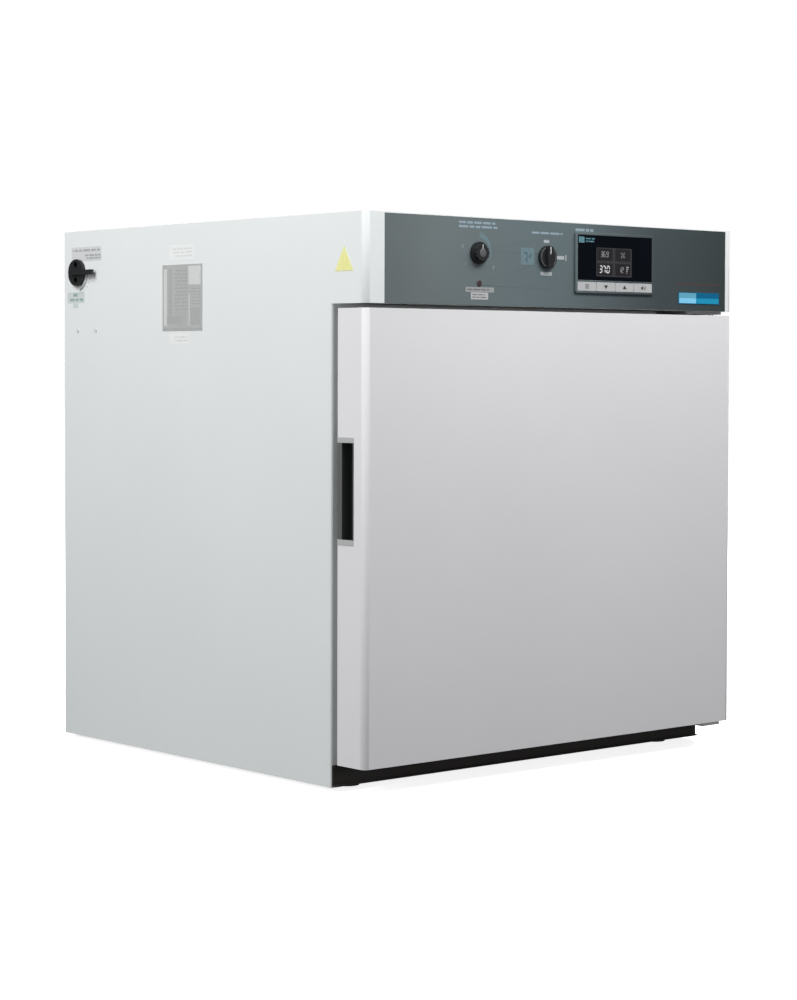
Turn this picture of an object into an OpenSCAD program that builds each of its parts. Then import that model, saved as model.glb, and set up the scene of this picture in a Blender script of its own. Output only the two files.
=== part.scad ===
// Bench-top laboratory incubator, mechanical convection.
// Millimetres, +Z up, front faces -Y. The origin is on the floor, under the
// middle of the overall envelope. Modules are written in cabinet coordinates:
// x = 0 in the middle, y = 0 at the front plane of door and head, z = 0 at the
// floor, and place() moves them to the model's origin.

/* [Cabinet] */
// Width over the two side panels
body_w = 804; // [790:1:840]
// Depth from the front plane of door and head to the rear panel
body_d = 802; // [795:1:840]
// Height of the side panels, feet not counted
body_h = 860; // [856:1:900]
// Height of the feet below the side panels
foot_h = 6; // [4:1:8]
// Height of the control head that overhangs the door
head_h = 135; // [130:1:140]
// Depth of the head's overhang, the same as the recess the door closes into
recess = 77; // [74:1:80]
// Sheet thickness of the painted outer panels
sheet = 1.5; // [1:0.5:2]
// Outside bend radius of the vertical front corners
bend_r = 9; // [6:1:14]

/* [Door] */
// Thickness of the outer door
door_t = 63; // [60:1:63]
// Gap between the door and the head above it
door_gap = 7; // [7:1:9]
// Height of the door's lower edge above the bottom of the side panels
door_lift = 36; // [36:1:40]
// Distance of the hinge axis from the door's right edge
hinge_in = 29; // [26:1:29]
// Radius of the hinge pins
pin_r = 4; // [3:0.5:5]
// Radial running clearance in bushes and bearings
run_c = 0.05; // [0.02:0.01:0.09]
// Height of the finger pocket in the door's left edge
pocket_h = 144; // [120:1:160]

/* [Chamber] */
// Inside width of the chamber
ch_w = 610; // [600:1:620]
// Inside height of the chamber
ch_h = 595; // [580:1:596]
// Inside depth of the chamber with the air duct
ch_d = 564; // [560:1:570]
// Sheet thickness of the stainless liner
liner_t = 1.2; // [1:0.1:1.5]
// Thickness of the inner glass door
glass_t = 5; // [4:1:6]
// Height of the lowest shelf above the chamber floor
shelf_z = 127; // [100:1:140]
// Spacing of the shelves
shelf_pitch = 155; // [140:1:160]

/* [Controls] */
// Radius of the over-temperature limit knob
limit_r = 17; // [14:0.5:19]
// Radius of the power switch knob
power_r = 18; // [15:0.5:20]
// Height of the knobs in front of the fascia
knob_out = 11; // [10:1:18]
// Radius of the vent damper disc on the left side
vent_r = 22.5; // [20:0.5:24]

/* [Hidden] */
$fn = 96;
e = 0.1;
vent_out = 10.5;
side_out = 0.9;
rear_out = 2.4;
xw = body_w / 2;
xi = xw - sheet;
zb = foot_h;
zt = foot_h + body_h;
hz0 = zt - head_h;
dz0 = zb + door_lift;
dz1 = hz0 - door_gap;
dz = dz1 - dz0;
fy = recess + sheet + 0.1;
ly = fy + sheet + 0.1;
cz0 = dz0 + 46;
cz1 = cz0 + ch_h;
cx = ch_w / 2;
cy1 = ly + ch_d;
by = cy1 + 59;
hx = xw - hinge_in;
hy = 20;
ds = 1.2;
gx = cx - 11;
gy = ly + 2.8 + glass_t / 2;
baf_y = cy1 - 43;
shelf_y = ly + 31.8;
fan_z = cz0 + ch_h / 2;
fl = 37;
fr = 16;
vy = body_d - 42;
side_screws = [vy + 1, vy - 53];
limit_x = -177;
power_x = -32;
vz = hz0 + 65;
dcx = 119;
inlet_x = -205;
pz0 = zb + 366 + (144 - pocket_h) / 2;

// ---- helpers -------------------------------------------------------------

// moves cabinet coordinates to the model's origin
module place() {
  translate([(vent_out - side_out) / 2, -(body_d + rear_out - knob_out) / 2, 0]) children();
}

// box between two corners
module bx(a, b) {
  translate([a[0], a[1], a[2]]) cube([b[0] - a[0], b[1] - a[1], b[2] - a[2]]);
}

// cylinder along +Y from y0 to y1
module ycyl(x, z, r, y0, y1) {
  translate([x, y0, z]) rotate([-90, 0, 0]) cylinder(r = r, h = y1 - y0);
}

// cylinder along +X from x0 to x1
module xcyl(y, z, r, x0, x1) {
  translate([x0, y, z]) rotate([0, 90, 0]) cylinder(r = r, h = x1 - x0);
}

// cylinder along +Z from z0 to z1
module zcyl(x, y, r, z0, z1) {
  translate([x, y, z0]) cylinder(r = r, h = z1 - z0);
}

// rectangle with its low-x, low-y corner rounded
module corner_rect(x0, y0, x1, y1, r) {
  union() {
    translate([x0 + r, y0]) square([x1 - x0 - r, y1 - y0]);
    translate([x0, y0 + r]) square([x1 - x0, y1 - y0 - r]);
    intersection() {
      translate([x0 + r, y0 + r]) circle(r = r);
      translate([x0, y0]) square([r, r]);
    }
  }
}

// rectangle with both front corners rounded
module front_rect(x0, y0, x1, y1, r) {
  union() {
    translate([x0 + r, y0]) square([x1 - x0 - 2 * r, y1 - y0]);
    translate([x0, y0 + r]) square([x1 - x0, y1 - y0 - r]);
    translate([x0 + r, y0 + r]) circle(r = r);
    translate([x1 - r, y0 + r]) circle(r = r);
  }
}

// rectangle with four rounded corners
module round_rect(x0, y0, x1, y1, r) {
  union() {
    translate([x0 + r, y0]) square([x1 - x0 - 2 * r, y1 - y0]);
    translate([x0, y0 + r]) square([x1 - x0, y1 - y0 - 2 * r]);
    for (x = [x0 + r, x1 - r], y = [y0 + r, y1 - r]) translate([x, y]) circle(r = r);
  }
}

// plate standing in the X-Z plane, drawn in x and z, from y0 to y1
module xz_plate(y0, y1) {
  translate([0, y1, 0]) rotate([90, 0, 0]) linear_extrude(height = y1 - y0) children();
}

// one folded side panel for the left side; flange is the width of its front return
module side_panel(flange) {
  difference() {
    union() {
      // upper part, forward to the head's front
      translate([0, 0, hz0]) linear_extrude(height = head_h) difference() {
        corner_rect(-xw, 0, -xw + flange, body_d, bend_r);
        translate([0, 0]) corner_rect(-xw + sheet, sheet, -xw + flange + 1, body_d + 1, bend_r - sheet);
      }
      // lower part, back to the recess
      translate([0, 0, zb]) linear_extrude(height = hz0 - zb + e) difference() {
        corner_rect(-xw, recess, -xw + 22, body_d, 3);
        corner_rect(-xw + sheet, recess + sheet, -xw + 23, body_d + 1, 1.5);
      }
      // rear return that the rear panel screws to
      bx([-xi - e, body_d - 3.1, zb], [-xi + 16, body_d - 1.6, zt - 1.6]);
    }
  }
}

module side_panel_left() {
  color("#d8dadb") difference() {
    side_panel(fl);
    xcyl(vy, vz, 20.2, -xw - 1, -xw + 3);
    for (y = side_screws) xcyl(y, vz - 99, 2, -xw - 1, -xw + 3);
  }
}

module side_panel_right() {
  color("#d8dadb") mirror([1, 0, 0]) difference() {
    side_panel(fr);
    for (y = side_screws) xcyl(y, vz - 99, 2, -xw - 1, -xw + 3);
  }
}

module top_cover() {
  color("#dcdddd") union() {
    translate([0, 0, zt - sheet]) linear_extrude(height = sheet) front_rect(-xi + 0.1, sheet + 0.1, xi - 0.1, body_d - 1.6, bend_r - sheet - 0.1);
    bx([-xw + fl + 0.1, 0, zt - sheet], [xw - fr - 0.1, sheet + 0.2, zt]);
    bx([-xw + bend_r, 3.2, zt - 14], [xw - bend_r, 4.7, zt - sheet + e]);
    for (s = [-1, 1]) bx([min(s * (xi - 0.1), s * (xi - 1.6)), bend_r + 0.2, zt - 14], [max(s * (xi - 0.1), s * (xi - 1.6)), body_d - 4, zt - sheet + e]);
  }
}

module rear_panel() {
  color("#d4d6d6") difference() {
    bx([-xi + 0.1, body_d - sheet, zb], [xi - 0.1, body_d, zt]);
    // cooling slots for the electronics and for the motor space
    for (i = [0:9]) bx([40 + i * 24, body_d - 5, hz0 + 40], [46 + i * 24, body_d + 1, hz0 + 95]);
    for (i = [0:9]) bx([-110 + i * 24, body_d - 5, fan_z - 180], [-104 + i * 24, body_d + 1, fan_z - 110]);
    // cut-out of the mains inlet
    bx([inlet_x - 14.2, body_d - 5, hz0 + 44.8], [inlet_x + 14.2, body_d + 1, hz0 + 67.2]);
    for (p = rear_screws) ycyl(p[0], p[1], 2.1, body_d - 5, body_d + 1);
  }
}

rear_screws = concat(
  [for (s = [-1, 1], z = [zb + 30, zb + 290, zb + 560, zt - 30]) [s * (xi - 8), z]],
  [for (s = [-1, 1]) [s * 200, zt - 12]]);

module base_pan() {
  color("#9a9c9c") difference() {
    union() {
      bx([-xi + 0.1, fy + 1.4, zb], [xi - 0.1, body_d - 3.2, zb + sheet]);
      bx([-xi + 1.7, fy, zb], [xi - 1.7, fy + sheet, dz0 - 8.2]);
      bx([-xi + 0.1, body_d - 3.2 - sheet, zb], [xi - 16.1, body_d - 3.2, zb + 26]);
    }
    for (x = [-340, 340], y = [115, body_d - 55]) zcyl(x, y, 5.2, zb - 1, zb + 3);
  }
}

module toe_kick() {
  color("#151617") difference() {
    union() {
      bx([-xw + 1, recess - 2.6, zb + 2], [xw - 1, recess - 0.1, dz0 - 2]);
      bx([-xi + 1, recess - 8, zb + 2], [xi - 1, recess - 2.5, zb + 4]);
    }
    bx([hx - 30, recess - 10, dz0 - 9], [xw - 6, recess + 1, dz0]);
  }
}

module feet() {
  color("#1d1e1f") for (x = [-340, 340], y = [115, body_d - 55]) union() {
    zcyl(x, y, 19, 0, zb);
    zcyl(x, y, 5, zb - e, zb + 24);
  }
}

module front_frame() {
  color("#cfd1d1") xz_plate(fy, fy + sheet) difference() {
    translate([-xi + 1.7, dz0 - 1]) square([body_w - 2 * sheet - 3.4, hz0 - dz0 + 0.9]);
    translate([-cx + 2, cz0 + 2]) square([ch_w - 4, ch_h - 4]);
  }
}

module chamber_liner() {
  color("#b9bcbd") difference() {
    union() {
      bx([-cx - liner_t, ly, cz0 - liner_t], [cx + liner_t, cy1 + liner_t, cz1 + liner_t]);
      bx([-cx - 25, ly, cz0 - 25], [cx + 25, ly + liner_t, cz1 + 25]);
    }
    bx([-cx, ly - 1, cz0], [cx, cy1, cz1]);
    ycyl(0, fan_z, 7, cy1 - 1, cy1 + 3);
    for (s = [-1, 1]) ycyl(s * 26, fan_z - 96.5, 5.5, cy1 - 1, cy1 + 3);
    for (x = probe_x) zcyl(x, baf_y - 24, 3.6, cz1 - 1, cz1 + 3);
    zcyl(-270, cy1 - 20, 18.2, cz1 - 1, cz1 + 3);
  }
}

probe_x = [-60, 60];

module insulation_batts() {
  color("#e6dcae") difference() {
    union() {
      for (s = [-1, 1]) bx([min(s * (cx + liner_t + e), s * (xi - 0.1)), ly + liner_t + e, zb + sheet + e],
                           [max(s * (cx + liner_t + e), s * (xi - 0.1)), by - e, hz0 - e]);
    }
    for (x = [-340, 340], y = [115, body_d - 55]) zcyl(x, y, 6, zb, zb + 26);
    bx([hx - 30, ly, dz0 - 9], [xw, 113, dz0 - 1]);
  }
  color("#e6dcae") bx([-cx - liner_t, ly + liner_t + e, zb + sheet + e], [cx + liner_t, by - e, cz0 - liner_t - e]);
  color("#e6dcae") difference() {
    bx([-cx - liner_t, ly + liner_t + e, cz1 + liner_t + e], [cx + liner_t, by - e, hz0 - e]);
    for (x = probe_x) zcyl(x, baf_y - 24, 3.6, cz1, hz0);
    zcyl(-270, cy1 - 20, 18.2, cz1, hz0);
  }
  color("#e6dcae") difference() {
    bx([-cx - liner_t, cy1 + liner_t + e, cz0 - liner_t], [cx + liner_t, by - e, cz1 + liner_t]);
    ycyl(0, fan_z, 8, cy1, by);
    for (s = [-1, 1]) ycyl(s * 26, fan_z - 96.5, 5.5, cy1, by);
  }
}

module rear_bulkhead() {
  color("#a9acad") difference() {
    bx([-xi + 0.1, by, zb + sheet + e], [xi - 0.1, by + sheet, hz0 - e]);
    ycyl(0, fan_z, 8, by - 1, by + 3);
    for (s = [-1, 1]) ycyl(s * 26, fan_z - 96.5, 5.5, by - 1, by + 3);
  }
}

module electronics_deck() {
  color("#cdcfcf") difference() {
    translate([0, 0, hz0]) linear_extrude(height = sheet) front_rect(-xi + 0.1, 3.2, xi - 0.1, body_d - 3.2, bend_r - sheet - 0.1);
    for (x = probe_x) zcyl(x, baf_y - 24, 3.6, hz0 - 1, hz0 + 3);
    zcyl(-270, cy1 - 20, 18.2, hz0 - 1, hz0 + 3);
  }
}

module duct_baffle() {
  color("#b4b7b8") difference() {
    union() {
      bx([-cx + 2, baf_y, cz0 + 2], [cx - 2, baf_y + liner_t, cz1 - 2]);
      for (s = [-1, 1]) bx([min(s * (cx - 2), s * (cx - 3.2)), baf_y, cz0 + 2], [max(s * (cx - 2), s * (cx - 3.2)), cy1 - e, cz1 - 2]);
    }
    // intake holes in front of the fan
    for (k = [1:3], i = [0:6 * k - 1]) ycyl(17 * k * cos(i * 60 / k), fan_z + 17 * k * sin(i * 60 / k), 5.5, baf_y - 1, baf_y + 3);
    ycyl(0, fan_z, 5.5, baf_y - 1, baf_y + 3);
    // supply slots down both sides
    for (s = [-1, 1], i = [0:10]) bx([s * 245 - 25, baf_y - 1, cz0 + 40 + i * 48], [s * 245 + 25, baf_y + 3, cz0 + 50 + i * 48]);
  }
}

module fan_rotor() {
  color("#8f9395") difference() {
    union() {
      ycyl(0, fan_z, 4, cy1 - 35, by + 46);
      ycyl(0, fan_z, 13, cy1 - 33, cy1 - 8);
      ycyl(0, fan_z, 74, cy1 - 9.5, cy1 - 8);
      for (i = [0:11]) translate([0, 0, fan_z]) rotate([0, i * 30, 0]) bx([38, cy1 - 33, -0.75], [73, cy1 - 9, 0.75]);
    }
  }
}

module fan_motor() {
  color("#3a3d3f") difference() {
    union() {
      ycyl(0, fan_z, 40, by + 12, by + 68);
      ycyl(0, fan_z, 16, by + 8, by + 12.1);
      ycyl(0, fan_z, 30, by + 68, by + 74);
    }
    ycyl(0, fan_z, 4 + run_c, by + 5, by + 50);
  }
}

module motor_bracket() {
  color("#a2a5a6") difference() {
    union() {
      bx([-75, by + sheet + 0.1, fan_z - 55], [75, by + sheet + 3.1, fan_z + 55]);
      for (s = [-1, 1]) bx([s * 56 - 10, by + sheet + 3, fan_z - 12], [s * 56 + 10, by + 30, fan_z + 12]);
      ycyl(0, fan_z, 48, by + 24, by + 30);
    }
    ycyl(0, fan_z, 40, by + sheet + 5, by + 40);
    ycyl(0, fan_z, 17, by, by + 12);
    for (s = [-1, 1]) ycyl(s * 26, fan_z - 96.5, 5.5, by, by + 12);
  }
}

module heater_element() {
  color("#6b6662") union() {
    translate([0, cy1 - 22, fan_z]) rotate([90, 0, 0]) rotate([0, 0, -75]) rotate_extrude(angle = 330) translate([100, 0]) circle(r = 4.2);
    for (s = [-1, 1]) ycyl(s * 25.9, fan_z - 96.6, 4.2, cy1 - 22, by + 14);
  }
}

module shelf_uprights() {
  color("#a9adae") for (s = [-1, 1], y = [165, 520]) difference() {
    bx([s > 0 ? cx - 4 : -cx + 0.1, y, cz0 + 6], [s > 0 ? cx - 0.1 : -cx + 4, y + 20, cz1 - 6]);
    for (i = [0:14]) bx([s > 0 ? cx - 5 : -cx + 1.5, y + 7, cz0 + 24 + i * 38], [s > 0 ? cx - 1.5 : -cx + 5, y + 13, cz0 + 36 + i * 38]);
  }
}

module shelf_clips() {
  color("#9da1a2") for (s = [-1, 1], y = [166, 521], i = [0:2]) translate([0, 0, cz0 + shelf_z + i * shelf_pitch]) union() {
    bx([s > 0 ? cx - 20 : -cx + 4, y, -3.3], [s > 0 ? cx - 4 : -cx + 20, y + 18, -0.4]);
    bx([s > 0 ? cx - 6 : -cx + 4, y, -20], [s > 0 ? cx - 4 : -cx + 6, y + 18, -0.4]);
  }
}

// perforated shelf with turned-up edges; level counts from the lowest
module shelf(level) {
  z = cz0 + shelf_z + level * shelf_pitch;
  color("#bfc3c4") union() {
    translate([0, 0, z]) linear_extrude(height = 1.5) difference() {
      translate([-cx + 8, shelf_y]) square([ch_w - 16, baf_y - 13 - shelf_y]);
      for (i = [0:13], j = [0:9]) translate([-271 + i * 40, 138 + j * 44]) square([22, 26]);
    }
    for (s = [-1, 1]) bx([min(s * (cx - 8), s * (cx - 9.5)), shelf_y, z], [max(s * (cx - 8), s * (cx - 9.5)), baf_y - 13, z + 14]);
    bx([-cx + 8, shelf_y, z], [cx - 8, shelf_y + 1.5, z + 14]);
    bx([-cx + 8, baf_y - 14.5, z], [cx - 8, baf_y - 13, z + 14]);
  }
}

module shelf_lower() { shelf(0); }
module shelf_middle() { shelf(1); }
module shelf_upper() { shelf(2); }

module glass_pane() {
  color([0.75, 0.85, 0.85, 0.4]) bx([-cx + 6, gy - glass_t / 2, cz0 + 20], [gx - 8, gy + glass_t / 2, cz1 - 20]);
}

module glass_hinge_leaves() {
  color("#aeb2b3") for (t = [0, 1]) {
    z0 = t == 0 ? cz0 + 8.3 : cz1 - 20;
    difference() {
      union() {
        bx([gx - 44, gy - 4.5, z0], [gx, gy + 4.5, z0 + 11.7]);
        zcyl(gx, gy, 4.5, z0, z0 + 11.7);
        for (s = [-1, 1]) bx([gx - 44, s > 0 ? gy + glass_t / 2 : gy - 4.5, t == 0 ? z0 + 11 : z0 - 18],
                             [gx - 12, s > 0 ? gy + 4.5 : gy - glass_t / 2, t == 0 ? z0 + 30 : z0 + 1]);
      }
      zcyl(gx, gy, 3 + run_c, z0 - 1, z0 + 13);
    }
  }
}

module glass_hinge_posts() {
  color("#aeb2b3") for (t = [0, 1]) union() {
    bx([gx - 8, ly + 0.1, t == 0 ? cz0 + 0.1 : cz1 - 8], [cx - 0.1, gy + 8, t == 0 ? cz0 + 8 : cz1 - 0.1]);
    zcyl(gx, gy, 3, t == 0 ? cz0 + 7 : cz1 - 19, t == 0 ? cz0 + 19 : cz1 - 7);
  }
}

module glass_gasket() {
  color("#8d9091") difference() {
    bx([-cx + 0.1, gy + glass_t / 2 + 0.5, cz0 + 0.1], [cx - 0.1, gy + glass_t / 2 + 8, cz1 - 0.1]);
    bx([-cx + 15, gy, cz0 + 16], [cx - 15, gy + 20, cz1 - 16]);
    for (z = [cz0 - 1, cz1 - 42]) bx([gx - 50, gy, z], [cx + 1, gy + 20, z + 43]);
    bx([-cx - 1, gy, fan_z - 14], [-cx + 20, gy + 20, fan_z + 14]);
  }
}

module glass_pull_knob() {
  color("#1b1c1d") union() {
    ycyl(-cx + 32, fan_z, 12, gy - glass_t / 2 - 18, gy - glass_t / 2 - 9);
    ycyl(-cx + 32, fan_z, 6, gy - glass_t / 2 - 10, gy - glass_t / 2);
  }
}

module glass_catch() {
  color("#2a2c2d") bx([-cx + 0.1, gy + glass_t / 2 + 0.6, fan_z - 13], [-cx + 15, gy + glass_t / 2 + 9, fan_z + 13]);
}

module door_skin() {
  color("#d0d1d2") difference() {
    union() {
      translate([0, 0, dz0]) linear_extrude(height = dz) difference() {
        front_rect(-xw, 0, xw, door_t, bend_r);
        front_rect(-xw + ds, ds, xw - ds, door_t - ds, bend_r - ds);
        translate([-xw + 12, 10]) square([body_w - 24, door_t]);
      }
      for (z = [dz0, dz1 - ds]) translate([0, 0, z]) linear_extrude(height = ds) front_rect(-xw, 0, xw, door_t, bend_r);
      for (z = [dz0, dz1 - 12]) bx([-xw + 11, door_t - ds, z], [xw - 11, door_t, z + 12]);
    }
    bx([-xw - 1, 27, pz0 + 2], [-xw + 6, door_t - 2.4, pz0 + pocket_h + 14.5]);
    zcyl(hx, hy, 8.05, dz0 - 1, dz1 + 1);
  }
}

module door_inner_panel() {
  color("#cdd0d1") difference() {
    union() {
      bx([-xw + ds + 0.1, door_t - 2.4, dz0 + ds + 0.1], [xw - ds - 0.1, door_t - ds, dz1 - ds - 0.1]);
      bx([-cx + 4, 49, cz0 + 6], [cx - 4, door_t - 2.3, cz1 - 6]);
    }
    bx([-cx + 5.2, 50.2, cz0 + 7.2], [cx - 5.2, door_t + 1, cz1 - 7.2]);
    bx([-xw - 1, 24, pz0 - 1], [-xw + 36.1, door_t + 1, pz0 + pocket_h + 17.5]);
  }
}

module door_insulation() {
  color("#e6dcae") difference() {
    bx([-xw + bend_r, ds + 0.1, dz0 + ds + 0.1], [xw - bend_r, door_t - 2.5, dz1 - ds - 0.1]);
    bx([-cx + 3.9, 48.9, cz0 + 5.9], [cx - 3.9, door_t, cz1 - 5.9]);
    bx([-xw - 1, 24.8, pz0 - 1], [-xw + 36.2, door_t, pz0 + pocket_h + 17.5]);
    zcyl(hx, hy, 8.1, dz0, dz1);
  }
}

module door_gasket() {
  color("#8b8e8f") xz_plate(door_t - ds, fy - 0.4) difference() {
    translate([-cx - 34, cz0 - 30]) square([ch_w + 68, ch_h + 58]);
    translate([-cx - 12, cz0 - 12]) square([ch_w + 24, ch_h + 24]);
  }
}

module handle_cup() {
  color("#151718") difference() {
    union() {
      // body of the cup inside the door
      bx([-xw - 0.1, 27, pz0 + 2], [-xw + 36, door_t - 2.4, pz0 + pocket_h + 14.5]);
      // rim that covers the cut-out, widest behind the fingers
      bx([-xw - 0.8, 25.6, pz0], [-xw, door_t, pz0 + pocket_h + 16.5]);
    }
    bx([-xw - 2, 28.4, pz0 + 8], [-xw + 33.5, door_t - 10.5, pz0 + pocket_h + 8]);
  }
}

module hinge_bushes() {
  color("#e8e6df") for (t = [0, 1]) difference() {
    union() {
      zcyl(hx, hy, 8, t == 0 ? dz0 : dz1 - 30, t == 0 ? dz0 + 30 : dz1);
      if (t == 0) zcyl(hx, hy, 8, dz0 - 1.5, dz0 + 1);
    }
    zcyl(hx, hy, pin_r + run_c, t == 0 ? dz0 - 2 : dz1 - 28, t == 0 ? dz0 + 28 : dz1 + 1);
  }
}

module hinge_pins() {
  color("#9fa3a5") {
    zcyl(hx, hy, pin_r, dz1 - 26, hz0 - 0.1);
    zcyl(hx, hy, pin_r, dz0 - 6.5, dz0 + 26);
  }
}

module hinge_bracket_top() {
  color("#55585a") difference() {
    union() {
      bx([hx - 73, 8, hz0 - 5], [hx + 12, recess + 0, hz0 - 0.1]);
      bx([hx - 73, recess - 3, hz0 - 5], [hx + 12, recess, hz0 - 0.1]);
    }
    zcyl(hx, hy, pin_r, hz0 - 8, hz0 + 1);
    for (x = [hx - 55, hx - 25], y = [48]) zcyl(x, y, 2.6, hz0 - 8, hz0 + 1);
  }
}

module hinge_bracket_bottom() {
  color("#3c3f41") difference() {
    union() {
      bx([hx - 28, 8, dz0 - 6.5], [hx + 14, recess - 0.2, dz0 - 2]);
      bx([hx - 28, recess - 1, dz0 - 6.5], [hx + 6.8, 112, dz0 - 2]);
    }
    zcyl(hx, hy, pin_r, dz0 - 10, dz0);
  }
}

module control_fascia() {
  color("#5b6063") difference() {
    bx([-xw + fl + 0.2, 0.3, hz0 + 0.4], [xw - fr - 0.2, 3, zt - sheet - 0.1]);
    ycyl(limit_x, hz0 + 80, 4.5, -1, 5);
    ycyl(power_x, hz0 + 78, 5, -1, 5);
    ycyl(-175, hz0 + 34, 3.6, -1, 5);
    bx([dcx - 86.5, -1, hz0 + 26.5], [dcx + 86.5, 5, hz0 + 116]);
  }
}

module display_bezel() {
  color("#1a1b1d") difference() {
    xz_plate(-3.5, 0.2) round_rect(dcx - 90, hz0 + 24, dcx + 90, hz0 + 120, 4);
    bx([dcx - 85, -5, hz0 + 44.5], [dcx + 85, 1, hz0 + 116]);
    bx([dcx - 86, -5, hz0 + 26.6], [dcx + 86, 1, hz0 + 42.4]);
  }
}

module display_glass() {
  color("#0b0c0e") bx([dcx - 84.9, -2.8, hz0 + 44.6], [dcx + 84.9, -0.6, hz0 + 115.9]);
}

module display_module() {
  color("#24402f") union() {
    bx([dcx - 85, 7, hz0 + 29], [dcx + 85, 9, hz0 + 115]);
    color("#101214") bx([dcx - 50, -0.4, hz0 + 50], [dcx + 50, 7.1, hz0 + 105]);
  }
}

// one key of the row under the display window; i counts from the left
module key(i) {
  x0 = dcx - 85.4 + i * 42.75;
  color("#b3b6b8") union() {
    bx([x0, -3.6, hz0 + 27.2], [x0 + 42, -0.4, hz0 + 41.8]);
    bx([x0 + 13, -0.5, hz0 + 30.2], [x0 + 29, 4.6, hz0 + 38.8]);
  }
}

module key_menu() { key(0); }
module key_down() { key(1); }
module key_up() { key(2); }
module key_mute() { key(3); }

// skirted knob on a round spindle, centred at x and z
module knob(x, z, r) {
  difference() {
    union() {
      ycyl(x, z, r, -4.5, -0.6);
      ycyl(x, z, r - 4, -knob_out, -4.4);
      ycyl(x, z, 3, -1, 24);
    }
    // pointer groove
    bx([x - 0.9, -knob_out - 1, z + 3], [x + 0.9, -knob_out + 1, z + r]);
    for (i = [0:11]) translate([x, 0, z]) rotate([0, 15 + i * 30, 0]) ycyl(r - 2.4, 0, 2.6, -knob_out - 1, -5.5);
  }
}

module limit_knob() { color("#1a1b1d") knob(limit_x, hz0 + 80, limit_r); }

module limit_thermostat() {
  color("#d9d5c8") difference() {
    union() {
      bx([limit_x - 22, 8, hz0 + 58], [limit_x + 22, 38, hz0 + 102]);
      ycyl(limit_x, hz0 + 80, 6, 3.1, 8.1);
    }
    ycyl(limit_x, hz0 + 80, 3 + run_c, 2, 26);
  }
}

// round switch knob with a bar grip
module power_knob() {
  color("#1a1b1d") union() {
    ycyl(power_x, hz0 + 78, power_r, -5, -0.6);
    intersection() {
      bx([power_x - 5.5, -knob_out + 1, hz0 + 78 - power_r], [power_x + 5.5, -4.9, hz0 + 78 + power_r]);
      ycyl(power_x, hz0 + 78, power_r - 1, -knob_out, -4);
    }
    ycyl(power_x, hz0 + 78, 3, -1, 24);
  }
}

module power_switch_body() {
  color("#26282a") difference() {
    union() {
      bx([power_x - 20, 8, hz0 + 58], [power_x + 20, 52, hz0 + 98]);
      ycyl(power_x, hz0 + 78, 7, 3.1, 8.1);
    }
    ycyl(power_x, hz0 + 78, 3 + run_c, 2, 26);
  }
}

module pilot_lamp() {
  color("#5a1f1a") union() {
    ycyl(-175, hz0 + 34, 3.5, -1.2, 16);
    ycyl(-175, hz0 + 34, 5, -0.4, 0.2);
  }
}

module badge_plate() {
  color("#12749f") bx([xw - 131, -0.7, hz0 + 11.5], [xw - 32, 0.2, hz0 + 30]);
}

module control_board() {
  color("#1f5a3a") difference() {
    union() {
      bx([20, 60, hz0 + 14], [240, 210, hz0 + 15.6]);
      color("#222") bx([60, 90, hz0 + 15.5], [95, 125, hz0 + 19]);
      color("#222") bx([120, 80, hz0 + 15.5], [150, 110, hz0 + 32]);
      color("#2a6") bx([40, 185, hz0 + 15.5], [200, 205, hz0 + 30]);
      color("#444") for (i = [0:2]) zcyl(180 + i * 20, 140, 7, hz0 + 15.5, hz0 + 38);
      for (x = [28, 232], y = [68, 202]) zcyl(x, y, 4, hz0 + sheet + 0.1, hz0 + 14.1);
    }
    for (x = [28, 232], y = [68, 202]) zcyl(x, y, 1.6, hz0 + 8, hz0 + 17);
  }
}

module power_supply() {
  color("#8c9092") difference() {
    bx([-220, 300, hz0 + sheet + 0.1], [-60, 400, hz0 + 52]);
    for (i = [0:11]) bx([-212 + i * 12, 299, hz0 + 14], [-206 + i * 12, 302, hz0 + 40]);
    for (i = [0:11]) bx([-212 + i * 12, 310, hz0 + 50], [-206 + i * 12, 390, hz0 + 53]);
  }
  color("#b8bbbc") for (i = [0:6]) bx([-20 + i * 10, 300, hz0 + sheet + 4], [-17 + i * 10, 380, hz0 + 44]);
  color("#b8bbbc") bx([-24, 300, hz0 + sheet + 0.1], [47, 380, hz0 + sheet + 4.1]);
}

module mains_inlet() {
  color("#17181a") difference() {
    union() {
      bx([inlet_x - 25, body_d, hz0 + 42], [inlet_x + 25, body_d + 2, hz0 + 70]);
      bx([inlet_x - 14, body_d - 30, hz0 + 45], [inlet_x + 14, body_d + 0.1, hz0 + 67]);
    }
    bx([inlet_x - 12, body_d - 18, hz0 + 47.75], [inlet_x + 12, body_d + 3, hz0 + 64.25]);
  }
  color("#b9a25a") for (p = [[inlet_x - 7, 54], [inlet_x + 7, 54], [inlet_x, 58]]) bx([p[0] - 1, body_d - 18, hz0 + p[1] - 2], [p[0] + 1, body_d - 3, hz0 + p[1] + 2]);
}

module chamber_probes() {
  color("#c0c4c6") for (x = probe_x) union() {
    zcyl(x, baf_y - 24, 3, cz1 - 60, hz0 + 8);
    zcyl(x, baf_y - 24, 6, hz0 + sheet + 0.1, hz0 + 6);
  }
}

module data_plate() {
  color("#a9abac") bx([-xw - 0.6, 403, zb + 688.5], [-xw, 512, zb + 795]);
}

module warning_sticker() {
  color("#e9e071") translate([-xw, 0, 0]) rotate([0, -90, 0]) linear_extrude(height = 0.4)
    polygon([[zb + 773, 27], [zb + 773, 70], [zb + 810, 48.5]]);
}

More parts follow.
